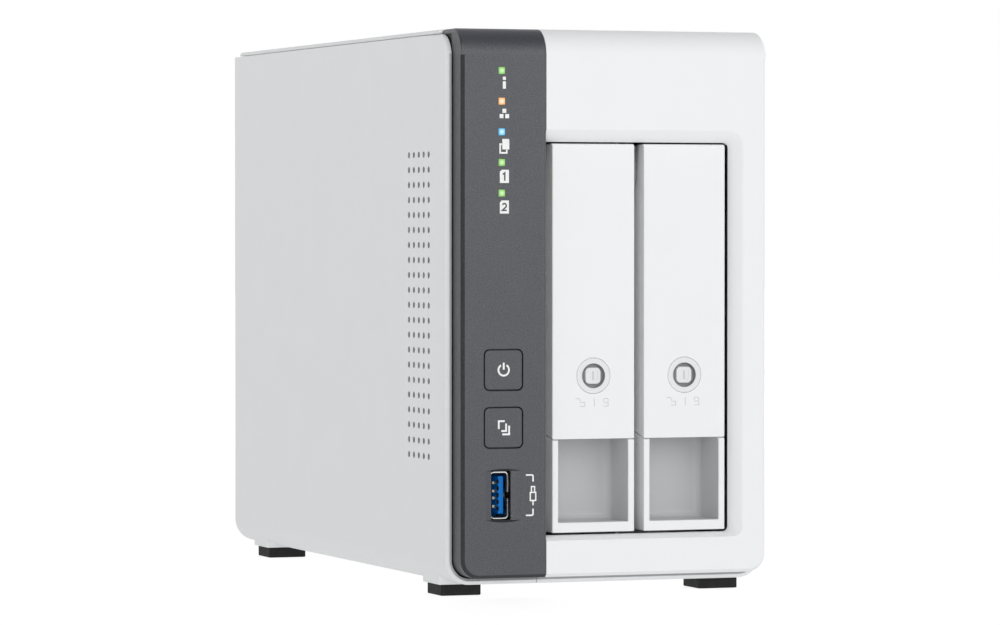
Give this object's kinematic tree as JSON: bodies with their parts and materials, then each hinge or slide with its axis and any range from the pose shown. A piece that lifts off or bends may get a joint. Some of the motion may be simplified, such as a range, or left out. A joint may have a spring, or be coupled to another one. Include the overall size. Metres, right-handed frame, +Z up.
{
  "type": "nas enclosure",
  "caption": "Upright desktop network storage enclosure: white casing, dark control panel, lockable drive trays behind a framed bay mouth, rear fan and ports, rubber feet.",
  "frame": {"origin": "on the ground under the feet, midway across the casing and midway between its front and rear planes", "axes": "+Z up, -Y out of the front face with the trays, +X to the right seen from the front"},
  "size_m": [0.1012, 0.2214, 0.1683],
  "materials": {
    "cover_white": "fine matte grain",
    "front_white": "fine matte grain",
    "panel_dark": "fine matte grain",
    "light_green": "clear light pipe, lit green",
    "light_amber": "clear light pipe, lit amber",
    "light_blue": "clear light pipe, lit blue",
    "switch_black": "satin",
    "circuit_board": "solder mask",
    "port_steel": "plated sheet",
    "port_blue": "satin",
    "lock_grey": "satin",
    "clip_grey": "satin",
    "drive_metal": "cast and machined",
    "cage_sheet": "zinc-coated sheet",
    "heat_sink_alloy": "extruded",
    "fan_black": "satin",
    "screw_steel": "plated",
    "foot_rubber": "matte rubber"
  },
  "bodies": {
    "casing": {"backplane_board": "circuit_board", "backplane_socket": "switch_black", "control_panel": "panel_dark", "copy_light": "light_blue", "copy_switch": "switch_black", "drive_1_light": "light_green", "drive_2_light": "light_green", "drive_cage": "cage_sheet", "drive_socket_1": "switch_black", "drive_socket_2": "switch_black", "fan_frame": "fan_black", "fan_screw_1": "screw_steel", "fan_screw_2": "screw_steel", "fan_screw_3": "screw_steel", "fan_screw_4": "screw_steel", "foot_front_left": "foot_rubber", "foot_front_right": "foot_rubber", "foot_rear_left": "foot_rubber", "foot_rear_right": "foot_rubber", "front_bezel": "front_white", "front_board": "circuit_board", "heat_sink": "heat_sink_alloy", "left_cover": "cover_white", "main_board": "circuit_board", "network_jack_1": "port_steel", "network_jack_2": "port_steel", "network_light": "light_amber", "power_jack": "switch_black", "power_switch": "switch_black", "rear_panel": "cover_white", "rear_port_1": "port_steel", "rear_port_2": "port_steel", "rear_screw_1": "screw_steel", "rear_screw_2": "screw_steel", "rear_screw_3": "screw_steel", "rear_screw_4": "screw_steel", "reset_switch": "switch_black", "right_cover": "cover_white", "status_light": "light_green", "top_cover": "cover_white", "usb_front_shell": "port_steel", "usb_front_tongue": "port_blue"},
    "tray_1": {"tray_1_frame": "front_white", "tray_1_hinge_pin": "port_steel", "tray_1_lower_clip": "clip_grey", "tray_1_upper_clip": "clip_grey", "drive_1": "drive_metal"},
    "tray_1_handle": {"tray_1_handle": "front_white"},
    "tray_1_lock": {"tray_1_lock": "lock_grey"},
    "tray_2": {"tray_2_frame": "front_white", "tray_2_hinge_pin": "port_steel", "tray_2_lower_clip": "clip_grey", "tray_2_upper_clip": "clip_grey", "drive_2": "drive_metal"},
    "tray_2_handle": {"tray_2_handle": "front_white"},
    "tray_2_lock": {"tray_2_lock": "lock_grey"},
    "power_button": {"power_button": "panel_dark"},
    "copy_button": {"copy_button": "panel_dark"},
    "reset_button": {"reset_button": "switch_black"},
    "fan_rotor": {"fan_rotor": "fan_black"}
  },
  "joints": [
    {"name": "tray_1_slide", "type": "slide", "parent": "casing", "child": "tray_1", "axis": [0, -1, 0], "range_m": [0, 0.16]},
    {"name": "tray_1_handle_swing", "type": "hinge", "parent": "tray_1", "child": "tray_1_handle", "pos_m": [-0.00605, -0.1044, 0.1292], "axis": [-1, 0, 0], "range_deg": [0, 45]},
    {"name": "tray_1_lock_turn", "type": "hinge", "parent": "tray_1_handle", "child": "tray_1_lock", "pos_m": [-0.00605, -0.10815, 0.06565], "axis": [0, -1, 0], "range_deg": [0, 90]},
    {"name": "tray_2_slide", "type": "slide", "parent": "casing", "child": "tray_2", "axis": [0, -1, 0], "range_m": [0, 0.16]},
    {"name": "tray_2_handle_swing", "type": "hinge", "parent": "tray_2", "child": "tray_2_handle", "pos_m": [0.0231, -0.1044, 0.1292], "axis": [-1, 0, 0], "range_deg": [0, 45]},
    {"name": "tray_2_lock_turn", "type": "hinge", "parent": "tray_2_handle", "child": "tray_2_lock", "pos_m": [0.0231, -0.10815, 0.06565], "axis": [0, -1, 0], "range_deg": [0, 90]},
    {"name": "power_button_press", "type": "slide", "parent": "casing", "child": "power_button", "axis": [0, 1, 0], "range_m": [0, 0.001], "stiffness_N_per_m": 400},
    {"name": "copy_button_press", "type": "slide", "parent": "casing", "child": "copy_button", "axis": [0, 1, 0], "range_m": [0, 0.001], "stiffness_N_per_m": 400},
    {"name": "reset_button_press", "type": "slide", "parent": "casing", "child": "reset_button", "axis": [0, -1, 0], "range_m": [0, 0.0006], "stiffness_N_per_m": 400},
    {"name": "fan_spin", "type": "hinge", "parent": "casing", "child": "fan_rotor", "pos_m": [0.013, 0.0918, 0.086], "axis": [0, 1, 0], "continuous": true}
  ]
}
